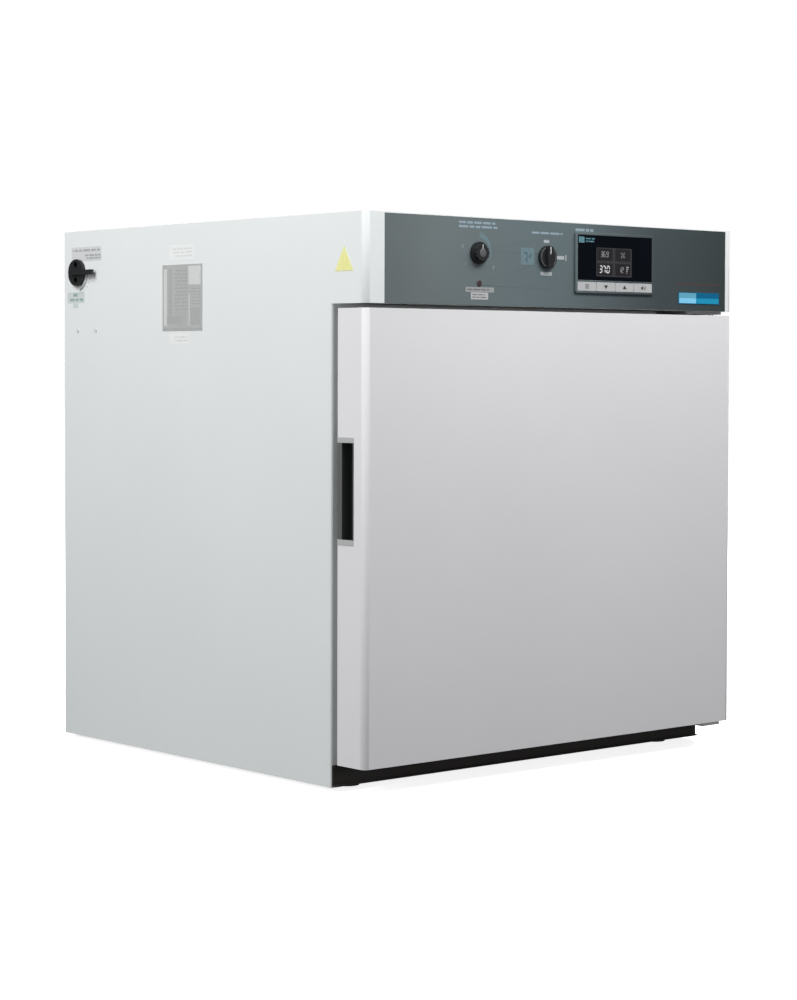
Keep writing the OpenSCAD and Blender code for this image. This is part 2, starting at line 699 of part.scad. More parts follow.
module vent_duct() {
  color("#3d4042") difference() {
    union() {
      xcyl(vy, vz, 20, -xw - 0.1, -270);
      xcyl(vy, vz, vent_r, -xw - 0.9, -xw);
      translate([-270, vy, vz]) sphere(r = 20);
      ycyl(-270, vz, 20, cy1 - 20, vy);
      translate([-270, cy1 - 20, vz]) sphere(r = 20);
      zcyl(-270, cy1 - 20, 18, cz1 + 2, vz);
    }
    xcyl(vy, vz, 17, -xw - 2, -270);
    translate([-270, vy, vz]) sphere(r = 17);
    ycyl(-270, vz, 17, cy1 - 20, vy);
    translate([-270, cy1 - 20, vz]) sphere(r = 17);
    zcyl(-270, cy1 - 20, 15.5, cz1, vz);
  }
  // cross-bar with the bearing of the damper's spindle
  color("#3d4042") difference() {
    union() {
      bx([-xw + 4, vy - 17, vz - 4], [-xw + 10, vy + 17, vz + 4]);
      xcyl(vy, vz, 8, -xw + 2, -xw + 14);
    }
    xcyl(vy, vz, 4 + run_c, -xw, -xw + 20);
  }
}

module vent_damper() {
  color("#141516") difference() {
    union() {
      xcyl(vy, vz, vent_r, -xw - 6, -xw - 1.3);
      xcyl(vy, vz, 4, -xw - 2, -xw + 12);
      bx([-xw - vent_out, vy - 54, vz - 4], [-xw - 4.5, vy + 10, vz + 4]);
    }
    for (s = [-1, 1]) xcyl(vy, vz + s * 13, 5, -xw - 20, -xw);
  }
}

module panel_screws() {
  color("#c4c7c8") {
    for (p = rear_screws) difference() {
      union() {
        ycyl(p[0], p[1], 4, body_d, body_d + rear_out);
        ycyl(p[0], p[1], 2, body_d - 1.6, body_d + 0.1);
      }
      bx([p[0] - 2.4, body_d + 1.4, p[1] - 0.5], [p[0] + 2.4, body_d + 3, p[1] + 0.5]);
      bx([p[0] - 0.5, body_d + 1.4, p[1] - 2.4], [p[0] + 0.5, body_d + 3, p[1] + 2.4]);
    }
    for (m = [0, 1], y = side_screws) mirror([m, 0, 0]) union() {
      xcyl(y, vz - 99, 3.6, -xw - side_out, -xw);
      xcyl(y, vz - 99, 1.9, -xw - 0.1, -xw + 5);
    }
  }
}

place() side_panel_left();
place() side_panel_right();
place() top_cover();
place() rear_panel();
place() base_pan();
place() toe_kick();
place() feet();
place() front_frame();
place() chamber_liner();
place() insulation_batts();
place() rear_bulkhead();
place() electronics_deck();
place() duct_baffle();
place() fan_rotor();
place() fan_motor();
place() motor_bracket();
place() heater_element();
place() shelf_uprights();
place() shelf_clips();
place() shelf_lower();
place() shelf_middle();
place() shelf_upper();
place() glass_pane();
place() glass_hinge_leaves();
place() glass_hinge_posts();
place() glass_gasket();
place() glass_pull_knob();
place() glass_catch();
place() door_skin();
place() door_inner_panel();
place() door_insulation();
place() door_gasket();
place() handle_cup();
place() hinge_bushes();
place() hinge_pins();
place() hinge_bracket_top();
place() hinge_bracket_bottom();
place() control_fascia();
place() display_bezel();
place() display_glass();
place() display_module();
place() key_menu();
place() key_down();
place() key_up();
place() key_mute();
place() limit_knob();
place() limit_thermostat();
place() power_knob();
place() power_switch_body();
place() pilot_lamp();
place() badge_plate();
place() control_board();
place() power_supply();
place() mains_inlet();
place() chamber_probes();
place() data_plate();
place() warning_sticker();
place() vent_duct();
place() vent_damper();
place() panel_screws();
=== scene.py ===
import math
import bpy
import bmesh
from mathutils import Vector, Matrix


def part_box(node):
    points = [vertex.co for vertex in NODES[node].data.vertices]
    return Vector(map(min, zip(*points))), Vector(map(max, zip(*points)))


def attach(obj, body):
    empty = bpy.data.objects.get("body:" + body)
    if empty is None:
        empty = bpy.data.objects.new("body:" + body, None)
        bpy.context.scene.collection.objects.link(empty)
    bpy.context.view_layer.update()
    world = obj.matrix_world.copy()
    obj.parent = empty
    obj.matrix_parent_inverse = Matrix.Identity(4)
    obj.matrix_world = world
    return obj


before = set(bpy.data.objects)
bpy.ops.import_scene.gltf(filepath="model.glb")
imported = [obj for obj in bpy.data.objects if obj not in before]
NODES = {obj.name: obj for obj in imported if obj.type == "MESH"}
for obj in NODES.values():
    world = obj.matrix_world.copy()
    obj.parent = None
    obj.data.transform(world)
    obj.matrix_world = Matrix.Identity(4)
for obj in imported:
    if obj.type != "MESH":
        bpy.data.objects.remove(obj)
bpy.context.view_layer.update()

# ---------------------------------------------------------------- frame of reference
# Cabinet coordinates in mm: x from the middle of the door, y from the front plane, z from the floor.
_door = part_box("door_skin")
OX = (_door[0][0] + _door[1][0]) / 2
OY = _door[0][1]
XW = (_door[1][0] - _door[0][0]) / 2 * 1000
_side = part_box("side_panel_left")
YB = (_side[1][1] - OY) * 1000
ZB = _side[0][2] * 1000
ZT = _side[1][2] * 1000
_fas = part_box("control_fascia")
HZ = _fas[0][2] * 1000 - 0.4
FY = (_fas[0][1] - OY) * 1000


def C(x, y, z):
    return Vector((OX + x / 1000, OY + y / 1000, z / 1000))


def face_frame(kind, at):
    """Maps (u, v, n) in mm on a face to the row frame: n points out of the face."""
    if kind == "front":
        return lambda u, v, n: C(u, at - n, v)
    if kind == "left":
        return lambda u, v, n: C(at - n, u, v)
    if kind == "right":
        return lambda u, v, n: C(at + n, u, v)
    if kind == "rear":
        return lambda u, v, n: C(u, at + n, v)
    if kind == "top":
        return lambda u, v, n: C(u, v, at + n)
    raise ValueError(kind)


# ---------------------------------------------------------------- node helpers
class NT:
    def __init__(self, name):
        self.m = bpy.data.materials.new(name)
        self.m.use_nodes = True
        self.t = self.m.node_tree
        self.t.nodes.clear()
        self.out = self.t.nodes.new("ShaderNodeOutputMaterial")
        self.b = self.t.nodes.new("ShaderNodeBsdfPrincipled")
        self.t.links.new(self.b.outputs[0], self.out.inputs[0])
        self.co = self.t.nodes.new("ShaderNodeTexCoord")

    def n(self, kind, **kw):
        x = self.t.nodes.new(kind)
        for k, v in kw.items():
            setattr(x, k, v)
        return x

    def link(self, a, b):
        self.t.links.new(a, b)

    def mapping(self, scale=(1, 1, 1)):
        mp = self.n("ShaderNodeMapping")
        mp.inputs["Scale"].default_value = scale
        self.link(self.co.outputs["Object"], mp.inputs["Vector"])
        return mp.outputs[0]

    def noise(self, vec, scale, detail=3.0, rough=0.5):
        x = self.n("ShaderNodeTexNoise")
        x.inputs["Scale"].default_value = scale
        x.inputs["Detail"].default_value = detail
        x.inputs["Roughness"].default_value = rough
        self.link(vec, x.inputs["Vector"])
        return x.outputs["Fac"]

    def ramp(self, fac, lo, hi, a=0.3, b=0.7):
        x = self.n("ShaderNodeMapRange")
        x.inputs["From Min"].default_value = a
        x.inputs["From Max"].default_value = b
        x.inputs["To Min"].default_value = lo
        x.inputs["To Max"].default_value = hi
        self.link(fac, x.inputs["Value"])
        return x.outputs[0]

    def mix(self, fac, ca, cb):
        x = self.n("ShaderNodeMix", data_type="RGBA")
        for s, c in ((6, ca), (7, cb)):
            if isinstance(c, tuple):
                x.inputs[s].default_value = (*c, 1.0)
            else:
                self.link(c, x.inputs[s])
        self.link(fac, x.inputs[0])
        return x.outputs[2]

    def bump(self, height, strength, dist, base=None):
        x = self.n("ShaderNodeBump")
        x.inputs["Strength"].default_value = strength
        x.inputs["Distance"].default_value = dist
        self.link(height, x.inputs["Height"])
        if base is not None:
            self.link(base, x.inputs["Normal"])
        return x.outputs[0]


def hexc(h, k=1.0):
    h = h.lstrip("#")
    v = [int(h[i:i + 2], 16) / 255 for i in (0, 2, 4)]
    return tuple(k * (c / 12.92 if c <= 0.04045 else ((c + 0.055) / 1.055) ** 2.4) for c in v)


def scaled(c, k):
    return tuple(min(1.0, x * k) for x in c)


def paint(name, col, rough=0.38, peel=1.0, spec=0.5, coat=0.0, dirt=0.02):
    """Powder-coated sheet: faint cloudiness, fine orange peel, uneven gloss."""
    t = NT(name)
    vec = t.mapping()
    cloud = t.noise(vec, 3.0, 4.0, 0.55)
    fine = t.noise(vec, 620.0, 2.0, 0.5)
    wide = t.noise(vec, 160.0, 2.0, 0.5)
    t.link(t.mix(t.ramp(cloud, 0, 1), scaled(col, 1 - dirt), scaled(col, 1 + dirt * 0.6)), t.b.inputs["Base Color"])
    t.link(t.ramp(wide, rough - 0.05, rough + 0.06), t.b.inputs["Roughness"])
    n1 = t.bump(fine, 0.10 * peel, 0.0004)
    t.link(t.bump(wide, 0.06 * peel, 0.0006, n1), t.b.inputs["Normal"])
    t.b.inputs["Specular IOR Level"].default_value = spec
    t.b.inputs["Coat Weight"].default_value = coat
    t.b.inputs["Coat Roughness"].default_value = 0.2
    return t.m


def plastic(name, col, rough=0.45, grain=260.0, bump=0.15, spec=0.5, vary=0.12):
    """Moulded plastic with a spark-eroded grain and slightly uneven gloss."""
    t = NT(name)
    vec = t.mapping()
    g = t.noise(vec, grain * 6, 2.0, 0.6)
    w = t.noise(vec, 24.0, 3.0, 0.5)
    t.link(t.mix(t.ramp(w, 0, 1), scaled(col, 1 - vary), scaled(col, 1 + vary)), t.b.inputs["Base Color"])
    t.link(t.ramp(g, rough - 0.06, rough + 0.08), t.b.inputs["Roughness"])
    t.link(t.bump(g, bump, 0.0003), t.b.inputs["Normal"])
    t.b.inputs["Specular IOR Level"].default_value = spec
    return t.m


def rubber(name, col, rough=0.62):
    t = NT(name)
    vec = t.mapping()
    g = t.noise(vec, 1100.0, 3.0, 0.6)
    w = t.noise(vec, 14.0, 3.0, 0.5)
    t.link(t.mix(t.ramp(w, 0, 1), scaled(col, 0.86), scaled(col, 1.12)), t.b.inputs["Base Color"])
    t.link(t.ramp(g, rough - 0.07, rough + 0.1), t.b.inputs["Roughness"])
    t.link(t.bump(g, 0.2, 0.0004), t.b.inputs["Normal"])
    t.b.inputs["Specular IOR Level"].default_value = 0.35
    return t.m


def steel(name, col, rough=0.3, along="x", streak=0.25, metal=1.0):
    """Brushed sheet: long fine lines along one axis in the gloss and the normal."""
    t = NT(name)
    sc = {"x": (2, 900, 900), "y": (900, 2, 900), "z": (900, 900, 2)}[along]
    line = t.noise(t.mapping(sc), 1.0, 3.0, 0.65)
    cloud = t.noise(t.mapping(), 5.0, 3.0, 0.5)
    t.link(t.mix(t.ramp(line, 0, 1), scaled(col, 1 - streak * 0.35), scaled(col, 1 + streak * 0.25)), t.b.inputs["Base Color"])
    r1 = t.ramp(line, rough - 0.07, rough + 0.09)
    add = t.n("ShaderNodeMath", operation="ADD")
    t.link(r1, add.inputs[0])
    t.link(t.ramp(cloud, -0.03, 0.05), add.inputs[1])
    t.link(add.outputs[0], t.b.inputs["Roughness"])
    t.link(t.bump(line, 0.12, 0.0002), t.b.inputs["Normal"])
    t.b.inputs["Metallic"].default_value = metal
    return t.m


def wool(name, col):
    t = NT(name)
    vec = t.mapping((1, 1, 3))
    f = t.noise(vec, 420.0, 6.0, 0.75)
    w = t.noise(vec, 30.0, 4.0, 0.6)
    t.link(t.mix(t.ramp(f, 0, 1), scaled(col, 0.6), scaled(col, 1.15)), t.b.inputs["Base Color"])
    t.link(t.ramp(w, 0.85, 1.0), t.b.inputs["Roughness"])
    t.link(t.bump(f, 0.8, 0.003), t.b.inputs["Normal"])
    t.b.inputs["Sheen Weight"].default_value = 0.3
    return t.m


def printed(name, col, rough=0.5, spec=0.35):
    """Screen print or vinyl label: nearly flat, with ink density that varies a little."""
    t = NT(name)
    vec = t.mapping()
    w = t.noise(vec, 300.0, 3.0, 0.6)
    t.link(t.mix(t.ramp(w, 0, 1), scaled(col, 0.94), scaled(col, 1.05)), t.b.inputs["Base Color"])
    t.link(t.ramp(w, rough - 0.05, rough + 0.05), t.b.inputs["Roughness"])
    t.link(t.bump(w, 0.05, 0.0002), t.b.inputs["Normal"])
    t.b.inputs["Specular IOR Level"].default_value = spec
    return t.m


def glowing(name, col, emit, strength):
    t = NT(name)
    vec = t.mapping()
    w = t.noise(vec, 900.0, 2.0, 0.5)
    t.link(t.mix(t.ramp(w, 0, 1), scaled(col, 0.9), scaled(col, 1.1)), t.b.inputs["Base Color"])
    t.link(t.ramp(w, 0.3, 0.4), t.b.inputs["Roughness"])
    t.b.inputs["Emission Color"].default_value = (*emit, 1)
    t.b.inputs["Emission Strength"].default_value = strength
    return t.m


def fascia_film():
    """Fascia film whose grey runs from light on the left to dark on the right, as an object-space ramp."""
    t = NT("fascia_grey")
    vec = t.mapping()
    sep = t.n("ShaderNodeSeparateXYZ")
    t.link(t.co.outputs["Object"], sep.inputs[0])
    pos = t.n("ShaderNodeMapRange")
    pos.inputs["From Min"].default_value = OX - 0.365
    pos.inputs["From Max"].default_value = OX + 0.386
    t.link(sep.outputs["X"], pos.inputs["Value"])
    ramp = t.n("ShaderNodeValToRGB")
    stops = [(0.0, (0.113, 0.137, 0.142)), (0.13, (0.136, 0.163, 0.168)), (0.35, (0.120, 0.156, 0.166)), (0.5, (0.110, 0.146, 0.155)),
             (0.68, (0.070, 0.088, 0.098)), (0.78, (0.048, 0.062, 0.069)), (0.9, (0.040, 0.054, 0.057)), (1.0, (0.034, 0.044, 0.046))]
    e = ramp.color_ramp.elements
    e[0].position, e[0].color = stops[0][0], (*stops[0][1], 1)
    e[1].position, e[1].color = stops[-1][0], (*stops[-1][1], 1)
    for p, c in stops[1:-1]:
        x = e.new(p)
        x.color = (*c, 1)
    t.link(pos.outputs[0], ramp.inputs[0])
    cloud = t.noise(vec, 7.0, 4.0, 0.55)
    sc = t.n("ShaderNodeMix", data_type="RGBA", blend_type="MULTIPLY")
    sc.inputs[0].default_value = 1.0
    t.link(ramp.outputs[0], sc.inputs[6])
    t.link(t.mix(t.ramp(cloud, 0, 1), (0.95, 0.95, 0.95), (1.03, 1.03, 1.03)), sc.inputs[7])
    t.link(sc.outputs[2], t.b.inputs["Base Color"])
    g = t.noise(vec, 900.0, 2.0, 0.5)
    t.link(t.ramp(g, 0.40, 0.48), t.b.inputs["Roughness"])
    t.link(t.bump(g, 0.06, 0.0003), t.b.inputs["Normal"])
    t.b.inputs["Specular IOR Level"].default_value = 0.4
    return t.m


def cup_plastic():
    """Black pocket plastic with painted light: the thin rim on the door's face is painted grey at its ends and dark
    grey behind, standing in for the side light on the same black plastic.
    """
    t = NT("pocket_plastic")
    vec = t.mapping()
    sep = t.n("ShaderNodeSeparateXYZ")
    t.link(t.co.outputs["Object"], sep.inputs[0])
    lo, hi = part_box("handle_cup")
    zc, zh = (lo[2] + hi[2]) / 2, (hi[2] - lo[2]) / 2

    def above(sock, value, soft=0.0003):
        x = t.n("ShaderNodeMapRange")
        x.inputs["From Min"].default_value = value - soft
        x.inputs["From Max"].default_value = value + soft
        t.link(sock, x.inputs["Value"])
        return x.outputs[0]

    dz = t.n("ShaderNodeMath", operation="SUBTRACT")
    t.link(sep.outputs["Z"], dz.inputs[0])
    dz.inputs[1].default_value = zc
    ab = t.n("ShaderNodeMath", operation="ABSOLUTE")
    t.link(dz.outputs[0], ab.inputs[0])
    # painted light: masks for the rim's top and bottom ends and the rear strip, where the side light falls on the black
    # plastic
    painted_light_ends = above(ab.outputs[0], zh - 0.0082)
    painted_light_back = above(sep.outputs["Y"], hi[1] - 0.0107)
    outer = t.n("ShaderNodeMath", operation="SUBTRACT")
    outer.inputs[0].default_value = 1.0
    t.link(above(sep.outputs["X"], lo[0] + 0.0012), outer.inputs[1])
    painted_light_ends_mask = t.n("ShaderNodeMath", operation="MULTIPLY")
    t.link(painted_light_ends, painted_light_ends_mask.inputs[0])
    t.link(outer.outputs[0], painted_light_ends_mask.inputs[1])
    painted_light_back_mask = t.n("ShaderNodeMath", operation="MULTIPLY")
    t.link(painted_light_back, painted_light_back_mask.inputs[0])
    t.link(outer.outputs[0], painted_light_back_mask.inputs[1])
    g = t.noise(vec, 1500.0, 2.0, 0.6)
    w = t.noise(vec, 24.0, 3.0, 0.5)
    base = t.mix(t.ramp(w, 0, 1), (0.034, 0.036, 0.036), (0.042, 0.045, 0.044))
    # painted light: dark grey for the lit rear strip and grey for the lit rim ends, lit copies of the black plastic
    base = t.mix(painted_light_back_mask.outputs[0], base, (0.105, 0.110, 0.105))
    base = t.mix(painted_light_ends_mask.outputs[0], base, (0.44, 0.45, 0.445))
    t.link(base, t.b.inputs["Base Color"])
    t.link(t.ramp(g, 0.45, 0.58), t.b.inputs["Roughness"])
    t.link(t.bump(g, 0.12, 0.0003), t.b.inputs["Normal"])
    return t.m


M = {}
M["cabinet"] = paint("cabinet_white", (0.735, 0.765, 0.765), 0.52, 1.0, 0.32)
M["door"] = paint("door_white", (0.735, 0.729, 0.746), 0.54, 1.0, 0.30)
M["door_liner"] = paint("door_liner_white", (0.70, 0.71, 0.71), 0.42)
M["frame"] = paint("frame_white", (0.76, 0.78, 0.775), 0.5, 1.0, 0.3)
M["base"] = steel("galvanised_steel", (0.50, 0.52, 0.53), 0.42, "x", 0.5)
M["black_paint"] = paint("black_powder_coat", (0.038, 0.035, 0.033), 0.6, 1.6, 0.3)
M["foot"] = rubber("foot_rubber", (0.018, 0.018, 0.018))
M["stainless"] = steel("stainless_sheet", (0.60, 0.61, 0.62), 0.30, "x")
M["stainless_v"] = steel("stainless_sheet_upright", (0.60, 0.61, 0.62), 0.30, "z")
M["wool"] = wool("glass_wool", (0.72, 0.64, 0.36))
M["fan"] = steel("fan_sheet", (0.55, 0.56, 0.57), 0.35, "y")
M["motor"] = paint("motor_black", (0.04, 0.043, 0.047), 0.5, 2.0)
M["heater"] = steel("heater_sheath_oxide", (0.16, 0.13, 0.11), 0.5, "y", 0.8)
M["seal"] = rubber("seal_grey", (0.26, 0.27, 0.265))
# door gasket grey, partly its own colour and partly painted light: set paler than the glass gasket so the gaps round
# the door look lit
M["seal_pale"] = rubber("seal_pale_grey", (0.56, 0.57, 0.565))
M["black"] = plastic("black_plastic", (0.010, 0.011, 0.012), 0.42)
M["cup"] = cup_plastic()
M["nylon"] = plastic("nylon_natural", (0.74, 0.72, 0.66), 0.4)
M["pin"] = steel("pin_steel", (0.62, 0.63, 0.64), 0.22, "z", 0.15)
M["hinge"] = paint("hinge_grey", (0.23, 0.238, 0.238), 0.45, 1.4)
M["fascia"] = fascia_film()
M["window"] = plastic("window_black", (0.0018, 0.0030, 0.0055), 0.22, 60.0, 0.02, 0.12)
M["lcd"] = glowing("display_backlight", (0.02, 0.02, 0.022), (0.020, 0.018, 0.021), 0.8)
M["digit"] = glowing("display_digits", (0.5, 0.5, 0.5), (0.92, 0.95, 0.97), 0.62)
M["digit_soft"] = glowing("display_digits_soft", (0.3, 0.3, 0.3), (0.40, 0.38, 0.38), 0.35)
M["digit_dim"] = glowing("display_digits_dim", (0.12, 0.12, 0.12), (0.10, 0.10, 0.10), 0.5)
M["silver"] = plastic("key_silver", (0.46, 0.47, 0.475), 0.32, 120.0, 0.06, 0.5, 0.04)
M["cream"] = plastic("thermostat_cream", (0.66, 0.62, 0.52), 0.5)
M["lamp"] = glowing("lamp_lens", (0.055, 0.030, 0.030), (0.20, 0.03, 0.02), 0.03)
M["teal"] = printed("teal_print", hexc("#687d84"))
M["teal_words"] = printed("teal_words", hexc("#8c9ea8"))
M["teal_dark"] = printed("teal_print_dark", hexc("#4f6870"))
M["pale"] = printed("pale_print", hexc("#a9afb2"))
M["grey_print"] = printed("grey_print", hexc("#8f9596"))
M["ink"] = printed("ink_dark", (0.03, 0.033, 0.036))
M["blue"] = printed("badge_blue", hexc("#0a6a96"), 0.42, 0.3)
M["blue_dark"] = printed("badge_blue_dark", hexc("#006089"), 0.42, 0.3)
M["blue_pale"] = printed("badge_blue_pale", hexc("#7fc9ea"), 0.42, 0.3)
M["red"] = printed("red_line", hexc("#5d3a3b"))
M["screw"] = paint("screw_white", (0.60, 0.62, 0.62), 0.4, 1.0, 0.4)
M["pcb"] = plastic("circuit_board_green", (0.015, 0.10, 0.05), 0.35, 80.0, 0.1)
M["alu"] = steel("aluminium_case", (0.56, 0.57, 0.58), 0.38, "x", 0.3)
M["plate"] = steel("label_aluminium", (0.50, 0.505, 0.507), 0.5, "z", 0.3, 0.25)
M["yellow"] = printed("label_yellow", (0.78, 0.77, 0.33), 0.45, 0.4)
M["white_label"] = printed("label_white", (0.80, 0.81, 0.81), 0.35, 0.5)

M["label_grey"] = printed("label_grey", (0.31, 0.32, 0.325))
M["label_mid"] = printed("label_mid_grey", (0.46, 0.47, 0.475))
M["words_grey"] = printed("words_grey", (0.16, 0.165, 0.17))
M["label_pale"] = printed("label_pale_grey", (0.60, 0.61, 0.62))
M["label_teal"] = printed("label_teal_grey", (0.57, 0.62, 0.62))
M["side_teal"] = printed("side_teal", hexc("#93a8a6"))
M["vent_words"] = printed("vent_words", hexc("#a0a3a4"))
M["faint_print"] = printed("faint_print", (0.66, 0.67, 0.67))
M["plate_dark"] = printed("plate_dark_field", (0.39, 0.393, 0.395))
M["plate_light"] = printed("plate_light_field", (0.60, 0.605, 0.605))
M["plate_ink"] = printed("plate_words", (0.39, 0.392, 0.395))
M["yellow_dark"] = printed("label_yellow_edge", (0.80, 0.80, 0.42))
M["lcd_tile"] = glowing("display_tile", (0.008, 0.008, 0.009), (0.010, 0.008, 0.010), 0.5)
M["teal_glass"] = printed("teal_print_on_glass", (0.10, 0.22, 0.27), 0.25)
M["white_ink"] = printed("white_ink", (0.70, 0.71, 0.72))
M["knob_cap"] = plastic("knob_cap", (0.085, 0.090, 0.095), 0.4, 200.0, 0.05)
M["badge_mid"] = printed("badge_blue_grey", hexc("#5fa3bd"), 0.42, 0.3)
M["badge_cyan"] = printed("badge_cyan", hexc("#1a8fb5"), 0.42, 0.3)


def glass_material():
    t = NT("tempered_glass")
    vec = t.mapping()
    w = t.noise(vec, 2.5, 2.0, 0.5)
    t.b.inputs["Base Color"].default_value = (0.93, 0.975, 0.96, 1)
    t.link(t.ramp(w, 0.0, 0.02), t.b.inputs["Roughness"])
    t.link(t.bump(w, 0.02, 0.001), t.b.inputs["Normal"])
    t.b.inputs["Transmission Weight"].default_value = 0.92
    t.b.inputs["IOR"].default_value = 1.5
    return t.m


M["glass"] = glass_material()

ASSIGN = {
    "side_panel_left": "cabinet", "side_panel_right": "cabinet", "top_cover": "cabinet", "rear_panel": "cabinet",
    "front_frame": "frame", "electronics_deck": "frame", "base_pan": "base", "toe_kick": "black_paint",
    "feet": "foot", "chamber_liner": "stainless_v", "insulation_batts": "wool", "rear_bulkhead": "base",
    "duct_baffle": "stainless_v", "fan_rotor": "fan", "fan_motor": "motor", "motor_bracket": "base",
    "heater_element": "heater", "shelf_uprights": "stainless_v", "shelf_clips": "stainless", "shelf_lower": "stainless",
    "shelf_middle": "stainless", "shelf_upper": "stainless", "glass_pane": "glass", "glass_hinge_leaves": "stainless",
    "glass_hinge_posts": "stainless", "glass_gasket": "seal", "glass_pull_knob": "black", "glass_catch": "black",
    "door_skin": "door", "door_inner_panel": "door_liner", "door_insulation": "wool", "door_gasket": "seal_pale",
    "handle_cup": "cup", "hinge_bushes": "nylon", "hinge_pins": "pin", "hinge_bracket_top": "hinge",
    "hinge_bracket_bottom": "cabinet", "control_fascia": "fascia", "display_bezel": "fascia", "display_glass": "window",
    "display_module": "pcb", "key_menu": "silver", "key_down": "silver", "key_up": "silver", "key_mute": "silver",
    "limit_knob": "black", "limit_thermostat": "cream", "power_knob": "black", "power_switch_body": "black",
    "pilot_lamp": "lamp", "badge_plate": "blue", "control_board": "pcb", "power_supply": "alu", "mains_inlet": "black",
    "chamber_probes": "pin", "data_plate": "plate", "warning_sticker": "yellow", "vent_duct": "black",
    "vent_damper": "black", "panel_screws": "screw",
}
for node, key in ASSIGN.items():
    o = NODES[node]
    o.data.materials.clear()
    o.data.materials.append(M[key])


# ---------------------------------------------------------------- mesh helpers
def new_obj(name, bm, mat, body, bevel=0.0, segs=2, smooth=35):
    bmesh.ops.recalc_face_normals(bm, faces=bm.faces)
    me = bpy.data.meshes.new(name)
    bm.to_mesh(me)
    bm.free()
    o = bpy.data.objects.new(name, me)
    bpy.context.scene.collection.objects.link(o)
    me.materials.append(M[mat])
    if bevel:
        b = o.modifiers.new("edge", "BEVEL")
        b.width = bevel / 1000
        b.segments = segs
        b.limit_method = "ANGLE"
        b.angle_limit = math.radians(40)
        b.harden_normals = False
    for p in me.polygons:
        p.use_smooth = True
    try:
        me.set_sharp_from_angle(angle=math.radians(smooth))
    except AttributeError:
        pass
    if body:
        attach(o, body)
    return o


def rrect(u0, v0, u1, v1, r, k=6):
    """Points of a rounded rectangle, anticlockwise, k segments a corner."""
    r = max(0.01, min(r, (u1 - u0) / 2 - 0.005, (v1 - v0) / 2 - 0.005))
    pts = []
    for cx, cy, a0 in ((u1 - r, v1 - r, 0), (u0 + r, v1 - r, 90), (u0 + r, v0 + r, 180), (u1 - r, v0 + r, 270)):
        for i in range(k + 1):
            a = math.radians(a0 + 90 * i / k)
            pts.append((cx + r * math.cos(a), cy + r * math.sin(a)))
    return pts


def loft(bm, F, loops, cap0=True, cap1=True):
    """Skins loops of (points, n) with the same number of points each."""
    rows = [[bm.verts.new(F(u, v, n)) for u, v in pts] for pts, n in loops]
    for a, b in zip(rows, rows[1:]):
        k = len(a)
        for i in range(k):
            bm.faces.new((a[i], a[(i + 1) % k], b[(i + 1) % k], b[i]))
    if cap0:
        bm.faces.new(rows[0][::-1])
    if cap1:
        bm.faces.new(rows[-1])
    return rows


def decal(bm, F, pts, t=0.12, n0=0.0):
    loft(bm, F, [(pts, n0), (pts, n0 + t)])


def bar(u, v, w, h, r=0.4):
    return rrect(u - w / 2, v - h / 2, u + w / 2, v + h / 2, r, 3)


def circle_pts(u, v, r, k=40, a0=0.0):
    return [(u + r * math.cos(math.radians(a0 + 360 * i / k)), v + r * math.sin(math.radians(a0 + 360 * i / k))) for i in range(k)]


def soften(node, width=0.5, segs=2, angle=35):
    """Rounds the sharp edges of a carried-over part with modifiers only."""
    o = NODES[node]
    w = o.modifiers.new("weld", "WELD")
    w.merge_threshold = 0.00001
    b = o.modifiers.new("edge", "BEVEL")
    b.width = width / 1000
    b.segments = segs
    b.limit_method = "ANGLE"
    b.angle_limit = math.radians(angle)
    b.use_clamp_overlap = True


# ---------------------------------------------------------------- shapes used by the details
def arc_band(bm, F, cu, cv, ra0, ra1, rb0, rb1, a0, a1, n0, n1, k=24):
    """A printed arc: inner and outer radius go from a to b between the angles a0 and a1."""
    rows = []
    for i in range(k + 1):
        t = i / k
        a = math.radians(a0 + (a1 - a0) * t)
        ri = ra0 + (rb0 - ra0) * t
        ro = ra1 + (rb1 - ra1) * t
        c, s = math.cos(a), math.sin(a)
        rows.append([bm.verts.new(F(cu + r * c, cv + r * s, n)) for r, n in ((ri, n0), (ro, n0), (ro, n1), (ri, n1))])
    for p, q in zip(rows, rows[1:]):
        for j in range(4):
            bm.faces.new((p[j], p[(j + 1) % 4], q[(j + 1) % 4], q[j]))
    bm.faces.new(rows[0][::-1])
    bm.faces.new(rows[-1])


def slab(bm, F, pts, n0, n1):
    loft(bm, F, [(pts, n0), (pts, n1)])


def turn_pts(pts, cu, cv, deg):
    c, s = math.cos(math.radians(deg)), math.sin(math.radians(deg))
    return [(cu + (u - cu) * c - (v - cv) * s, cv + (u - cu) * s + (v - cv) * c) for u, v in pts]


SEG = {"a": (0, 1, 1), "b": (0.5, 0.5, 0), "c": (0.5, -0.5, 0), "d": (0, -1, 1), "e": (-0.5, -0.5, 0), "f": (-0.5, 0.5, 0), "g": (0, 0, 1)}
DIG = {"0": "abcdef", "1": "bc", "2": "abged", "3": "abgcd", "4": "fgbc", "5": "afgcd", "6": "afgedc", "7": "abc", "8": "abcdefg", "9": "abcdfg", "-": "g"}


